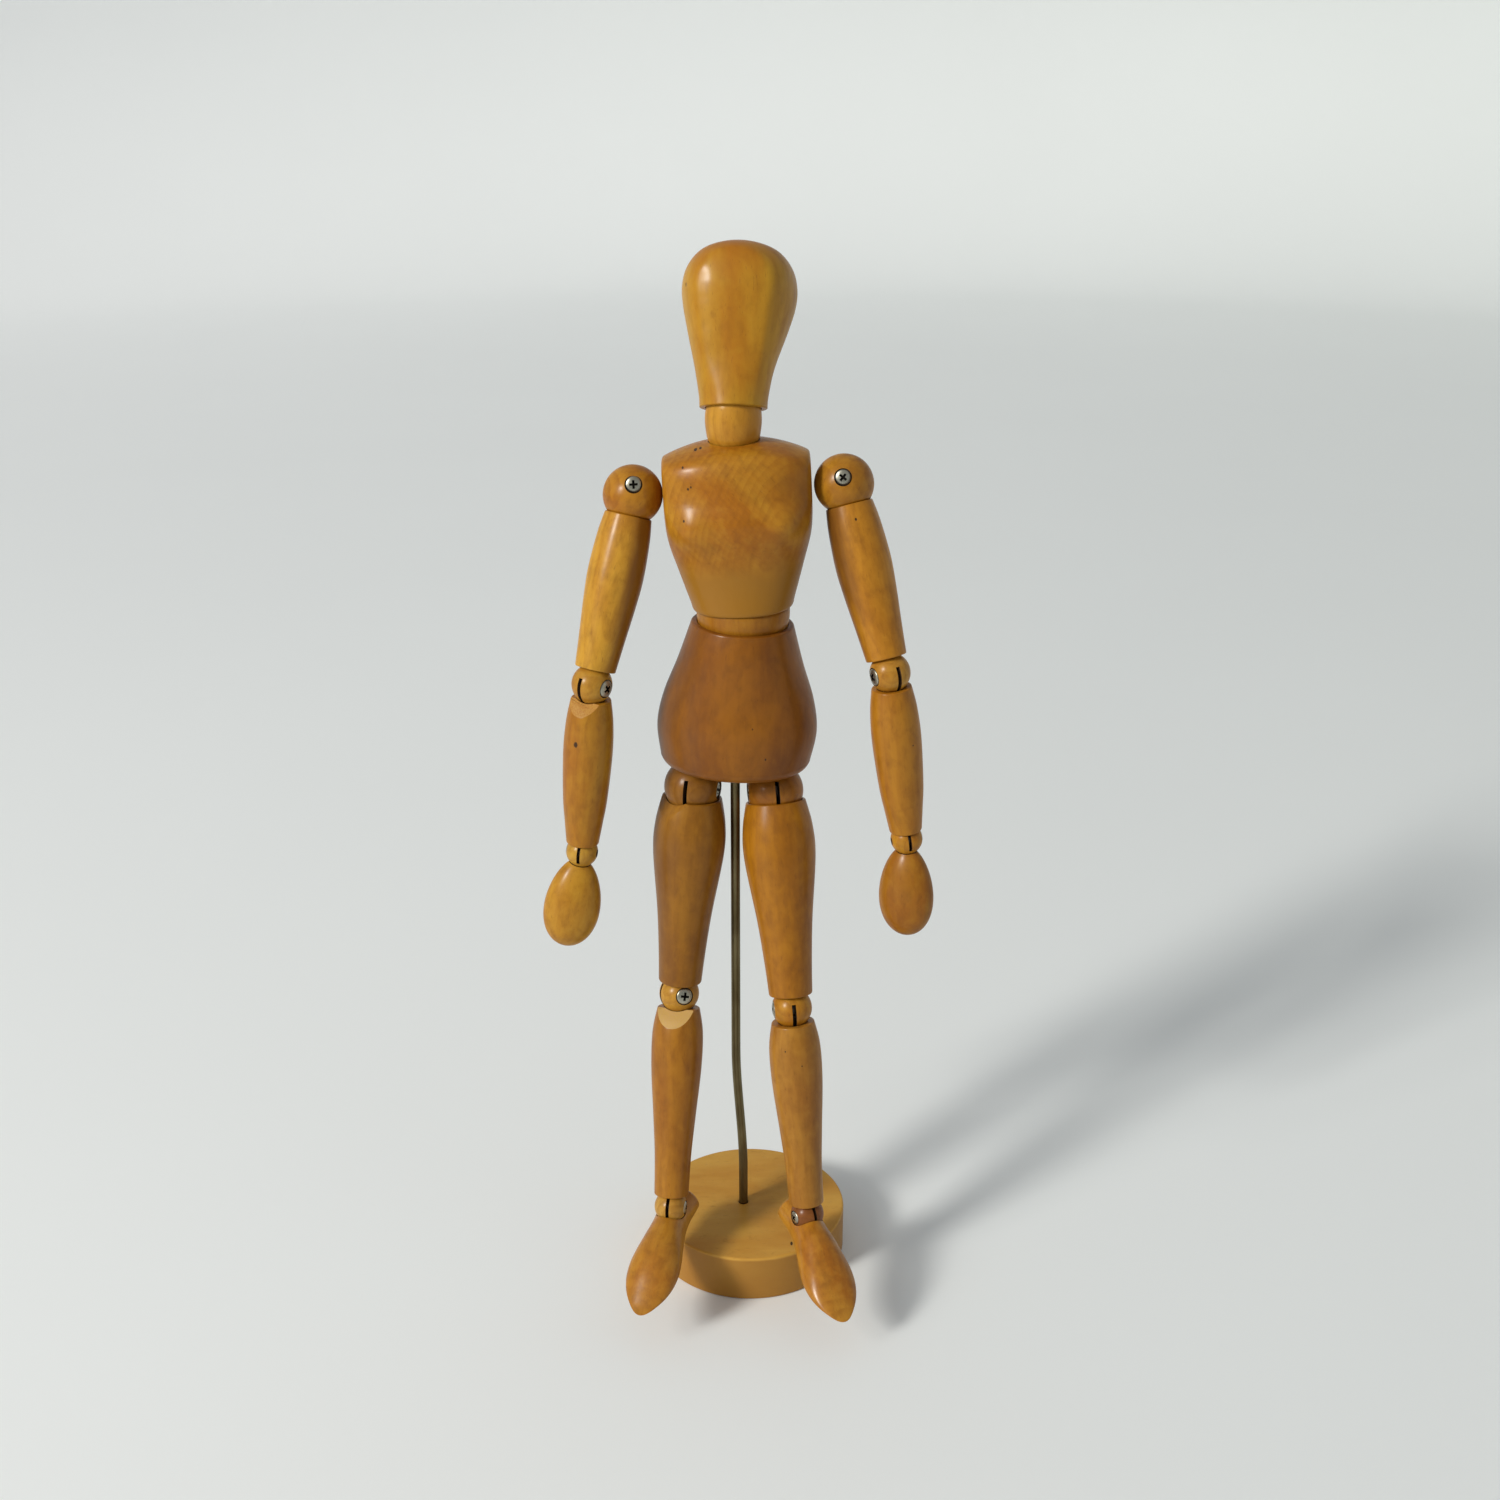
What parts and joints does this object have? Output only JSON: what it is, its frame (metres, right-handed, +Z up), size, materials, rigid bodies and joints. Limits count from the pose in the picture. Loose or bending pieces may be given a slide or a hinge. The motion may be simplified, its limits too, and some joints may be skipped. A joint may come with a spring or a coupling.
{
  "type": "artist mannequin",
  "caption": "Jointed wooden artist figure with an egg-shaped head, ball joints and screw pins, held up by a bent steel rod on a round wooden base.",
  "frame": {"origin": "centre of the underside of the stand's base", "axes": "+Z up the figure; the figure faces -Y; its right side is at -X"},
  "size_m": [0.1231, 0.0979, 0.3392],
  "materials": {
    "varnished_wood": "gloss varnish",
    "pelvis_wood": "gloss varnish, darker stain",
    "base_wood": "satin",
    "steel_rod": "dull, weathered",
    "bright_steel": "nickel plated",
    "spring_steel": "bright wire"
  },
  "bodies": {
    "stand": {"base": "base_wood", "stand_rod": "steel_rod"},
    "pelvis": {"pelvis": "pelvis_wood"},
    "waist_spring": {"waist_spring": "spring_steel"},
    "waist": {"waist": "varnished_wood"},
    "chest": {"chest": "varnished_wood", "shoulder_spring": "spring_steel"},
    "neck": {"neck": "varnished_wood"},
    "neck_spring": {"neck_spring": "spring_steel"},
    "head": {"head": "varnished_wood"},
    "left_shoulder": {"left_shoulder_ball": "varnished_wood", "left_shoulder_screw": "bright_steel"},
    "left_shoulder_tang": {"left_shoulder_tang": "bright_steel"},
    "left_elbow": {"left_elbow_ball": "varnished_wood", "left_elbow_screw": "bright_steel"},
    "left_elbow_tang": {"left_elbow_tang": "bright_steel"},
    "left_wrist": {"left_wrist_ball": "varnished_wood", "left_wrist_screw": "bright_steel"},
    "left_wrist_tang": {"left_wrist_tang": "bright_steel"},
    "left_hip": {"left_hip_ball": "varnished_wood", "left_hip_screw": "bright_steel"},
    "left_hip_tang": {"left_hip_tang": "bright_steel"},
    "left_knee": {"left_knee_ball": "varnished_wood", "left_knee_screw": "bright_steel"},
    "left_knee_tang": {"left_knee_tang": "bright_steel"},
    "left_ankle": {"left_ankle_ball": "varnished_wood", "left_ankle_screw": "bright_steel"},
    "left_ankle_tang": {"left_ankle_tang": "bright_steel"},
    "left_upper_arm": {"left_upper_arm": "varnished_wood"},
    "left_forearm": {"left_forearm": "varnished_wood"},
    "left_hand": {"left_hand": "varnished_wood"},
    "left_thigh": {"left_thigh": "varnished_wood"},
    "left_shin": {"left_shin": "varnished_wood"},
    "left_foot": {"left_foot": "varnished_wood"},
    "right_shoulder": {"right_shoulder_ball": "varnished_wood", "right_shoulder_screw": "bright_steel"},
    "right_shoulder_tang": {"right_shoulder_tang": "bright_steel"},
    "right_elbow": {"right_elbow_ball": "varnished_wood", "right_elbow_screw": "bright_steel"},
    "right_elbow_tang": {"right_elbow_tang": "bright_steel"},
    "right_wrist": {"right_wrist_ball": "varnished_wood", "right_wrist_screw": "bright_steel"},
    "right_wrist_tang": {"right_wrist_tang": "bright_steel"},
    "right_hip": {"right_hip_ball": "varnished_wood", "right_hip_screw": "bright_steel"},
    "right_hip_tang": {"right_hip_tang": "bright_steel"},
    "right_knee": {"right_knee_ball": "varnished_wood", "right_knee_screw": "bright_steel"},
    "right_knee_tang": {"right_knee_tang": "bright_steel"},
    "right_ankle": {"right_ankle_ball": "varnished_wood", "right_ankle_screw": "bright_steel"},
    "right_ankle_tang": {"right_ankle_tang": "bright_steel"},
    "right_upper_arm": {"right_upper_arm": "varnished_wood"},
    "right_forearm": {"right_forearm": "varnished_wood"},
    "right_hand": {"right_hand": "varnished_wood"},
    "right_thigh": {"right_thigh": "varnished_wood"},
    "right_shin": {"right_shin": "varnished_wood"},
    "right_foot": {"right_foot": "varnished_wood"}
  },
  "joints": [
    {"name": "figure_turn", "type": "hinge", "parent": "stand", "child": "pelvis", "pos_m": [-0.0047, 0, 0.1806], "axis": [0, 0, 1], "continuous": true},
    {"name": "waist_twist", "type": "hinge", "parent": "pelvis", "child": "waist_spring", "pos_m": [-0.00206, 0, 0.23093], "axis": [0, 0, 1], "range_deg": [-40, 40]},
    {"name": "waist_bow", "type": "hinge", "parent": "waist_spring", "child": "waist", "pos_m": [-0.00206, 0, 0.23093], "axis": [1, 0, 0], "range_deg": [-8, 8]},
    {"name": "chest_lean", "type": "hinge", "parent": "waist", "child": "chest", "pos_m": [-0.00206, 0, 0.22354], "axis": [0, 1, 0], "range_deg": [-7, 7]},
    {"name": "neck_lean", "type": "hinge", "parent": "chest", "child": "neck", "pos_m": [-0.00489, 0, 0.2871], "axis": [0, 1, 0], "range_deg": [-10, 10]},
    {"name": "head_turn", "type": "hinge", "parent": "neck", "child": "neck_spring", "pos_m": [-0.00489, 0, 0.2921], "axis": [0, 0, 1], "range_deg": [-75, 75]},
    {"name": "head_nod", "type": "hinge", "parent": "neck_spring", "child": "head", "pos_m": [-0.00489, 0, 0.2921], "axis": [1, 0, 0], "range_deg": [-2, 28]},
    {"name": "left_shoulder_swing", "type": "hinge", "parent": "chest", "child": "left_shoulder", "pos_m": [0.02803, 0, 0.27053], "axis": [-0.9986, 0, -0.0523], "range_deg": [-40, 165]},
    {"name": "left_shoulder_raise", "type": "hinge", "parent": "left_shoulder", "child": "left_shoulder_tang", "pos_m": [0.02803, 0, 0.27053], "axis": [-0.0633, -0.968, 0.2429], "range_deg": [-4, 75]},
    {"name": "left_upper_arm_turn", "type": "hinge", "parent": "left_shoulder_tang", "child": "left_upper_arm", "pos_m": [0.02803, 0, 0.27053], "axis": [-0.244, 0.251, 0.9367], "continuous": true},
    {"name": "left_elbow_turn", "type": "hinge", "parent": "left_upper_arm", "child": "left_elbow", "pos_m": [0.0422, -0.01458, 0.2161], "axis": [-0.244, 0.251, 0.9367], "continuous": true},
    {"name": "left_elbow_bend", "type": "hinge", "parent": "left_elbow", "child": "left_elbow_tang", "pos_m": [0.0422, -0.01458, 0.2161], "axis": [-0.8987, -0.4225, -0.1177], "range_deg": [-50, 50]},
    {"name": "left_forearm_turn", "type": "hinge", "parent": "left_elbow_tang", "child": "left_forearm", "pos_m": [0.0422, -0.01458, 0.2161], "axis": [-0.1219, -0.0173, 0.9924], "continuous": true},
    {"name": "left_wrist_turn", "type": "hinge", "parent": "left_forearm", "child": "left_wrist_tang", "pos_m": [0.04898, -0.01362, 0.16092], "axis": [-0.1219, -0.0173, 0.9924], "continuous": true},
    {"name": "left_wrist_bend", "type": "hinge", "parent": "left_wrist_tang", "child": "left_wrist", "pos_m": [0.04898, -0.01362, 0.16092], "axis": [0.9773, 0.1726, 0.123], "range_deg": [-45, 45]},
    {"name": "left_hand_turn", "type": "hinge", "parent": "left_wrist", "child": "left_hand", "pos_m": [0.04898, -0.01362, 0.16092], "axis": [-0.0174, 0.0697, 0.9974], "continuous": true},
    {"name": "left_hip_turn", "type": "hinge", "parent": "pelvis", "child": "left_hip", "pos_m": [0.00785, 0, 0.17163], "axis": [0.0523, 0, 0.9986], "range_deg": [-13, 35]},
    {"name": "left_hip_swing", "type": "hinge", "parent": "left_hip", "child": "left_hip_tang", "pos_m": [0.00785, 0, 0.17163], "axis": [-0.992, -0.1149, -0.0514], "range_deg": [-4, 55]},
    {"name": "left_thigh_turn", "type": "hinge", "parent": "left_hip_tang", "child": "left_thigh", "pos_m": [0.00785, 0, 0.17163], "axis": [0.0793, -0.253, -0.9642], "range_deg": [-80, 80]},
    {"name": "left_knee_turn", "type": "hinge", "parent": "left_thigh", "child": "left_knee", "pos_m": [0.01348, -0.01796, 0.10317], "axis": [-0.0793, 0.253, 0.9642], "range_deg": [-80, 80]},
    {"name": "left_knee_bend", "type": "hinge", "parent": "left_knee", "child": "left_knee_tang", "pos_m": [0.01348, -0.01796, 0.10317], "axis": [0.9902, 0.129, 0.0534], "range_deg": [-50, 8]},
    {"name": "left_shin_turn", "type": "hinge", "parent": "left_knee_tang", "child": "left_shin", "pos_m": [0.01348, -0.01796, 0.10317], "axis": [0.0756, -0.1732, -0.982], "range_deg": [-75, 75]},
    {"name": "left_ankle_turn", "type": "hinge", "parent": "left_shin", "child": "left_ankle_tang", "pos_m": [0.01888, -0.03034, 0.03296], "axis": [0.0756, -0.1732, -0.982], "range_deg": [-75, 75]},
    {"name": "left_ankle_bend", "type": "hinge", "parent": "left_ankle_tang", "child": "left_ankle", "pos_m": [0.01888, -0.03034, 0.03296], "axis": [0.8581, 0.5129, -0.0244], "range_deg": [-28, 6]},
    {"name": "left_foot_turn", "type": "hinge", "parent": "left_ankle", "child": "left_foot", "pos_m": [0.01888, -0.03034, 0.03296], "axis": [-0.0796, 0.2285, -0.9703], "range_deg": [-50, 50]},
    {"name": "right_shoulder_swing", "type": "hinge", "parent": "chest", "child": "right_shoulder", "pos_m": [-0.03499, 0, 0.26722], "axis": [-0.9986, 0, -0.0523], "range_deg": [-40, 165]},
    {"name": "right_shoulder_raise", "type": "hinge", "parent": "right_shoulder", "child": "right_shoulder_tang", "pos_m": [-0.03499, 0, 0.26722], "axis": [-0.0572, 0.9676, -0.2459], "range_deg": [-4, 75]},
    {"name": "right_upper_arm_turn", "type": "hinge", "parent": "right_shoulder_tang", "child": "right_upper_arm", "pos_m": [-0.03499, 0, 0.26722], "axis": [0.2193, 0.2525, 0.9424], "continuous": true},
    {"name": "right_elbow_turn", "type": "hinge", "parent": "right_upper_arm", "child": "right_elbow", "pos_m": [-0.04773, -0.01467, 0.21247], "axis": [0.2193, 0.2525, 0.9424], "continuous": true},
    {"name": "right_elbow_bend", "type": "hinge", "parent": "right_elbow", "child": "right_elbow_tang", "pos_m": [-0.04773, -0.01467, 0.21247], "axis": [0.8126, -0.5785, -0.0711], "range_deg": [-52, 45]},
    {"name": "right_forearm_turn", "type": "hinge", "parent": "right_elbow_tang", "child": "right_forearm", "pos_m": [-0.04773, -0.01467, 0.21247], "axis": [0.0872, 0, 0.9962], "continuous": true},
    {"name": "right_wrist_turn", "type": "hinge", "parent": "right_forearm", "child": "right_wrist_tang", "pos_m": [-0.05258, -0.01467, 0.15708], "axis": [0.0872, 0, 0.9962], "continuous": true},
    {"name": "right_wrist_bend", "type": "hinge", "parent": "right_wrist_tang", "child": "right_wrist", "pos_m": [-0.05258, -0.01467, 0.15708], "axis": [-0.9811, 0.1736, 0.0858], "range_deg": [-45, 45]},
    {"name": "right_hand_turn", "type": "hinge", "parent": "right_wrist", "child": "right_hand", "pos_m": [-0.05258, -0.01467, 0.15708], "axis": [0.1904, 0.0685, 0.9793], "continuous": true},
    {"name": "right_hip_turn", "type": "hinge", "parent": "pelvis", "child": "right_hip", "pos_m": [-0.01812, 0, 0.17299], "axis": [0.0523, 0, 0.9986], "range_deg": [-35, 35]},
    {"name": "right_hip_swing", "type": "hinge", "parent": "right_hip", "child": "right_hip_tang", "pos_m": [-0.01812, 0, 0.17299], "axis": [-0.9651, 0.2581, 0.0434], "range_deg": [-4, 55]},
    {"name": "right_thigh_turn", "type": "hinge", "parent": "right_hip_tang", "child": "right_thigh", "pos_m": [-0.01812, 0, 0.17299], "axis": [-0.0711, -0.0991, -0.9925], "range_deg": [-50, 80]},
    {"name": "right_knee_turn", "type": "hinge", "parent": "right_thigh", "child": "right_knee", "pos_m": [-0.02317, -0.00703, 0.10252], "axis": [-0.0711, -0.0991, -0.9925], "range_deg": [-50, 80]},
    {"name": "right_knee_bend", "type": "hinge", "parent": "right_knee", "child": "right_knee_tang", "pos_m": [-0.02317, -0.00703, 0.10252], "axis": [0.3261, -0.9074, 0.2649], "range_deg": [-50, 16]},
    {"name": "right_shin_turn", "type": "hinge", "parent": "right_knee_tang", "child": "right_shin", "pos_m": [-0.02317, -0.00703, 0.10252], "axis": [-0.0417, -0.2938, -0.955], "range_deg": [-75, 75]},
    {"name": "right_ankle_turn", "type": "hinge", "parent": "right_shin", "child": "right_ankle_tang", "pos_m": [-0.02615, -0.02804, 0.03424], "axis": [0.0417, 0.2938, 0.955], "range_deg": [-75, 75]},
    {"name": "right_ankle_bend", "type": "hinge", "parent": "right_ankle_tang", "child": "right_ankle", "pos_m": [-0.02615, -0.02804, 0.03424], "axis": [0.9786, -0.2049, 0.0203], "range_deg": [-28, 6]},
    {"name": "right_foot_turn", "type": "hinge", "parent": "right_ankle", "child": "right_foot", "pos_m": [-0.02615, -0.02804, 0.03424], "axis": [-0.0642, -0.2332, 0.9703], "range_deg": [-50, 50]}
  ]
}
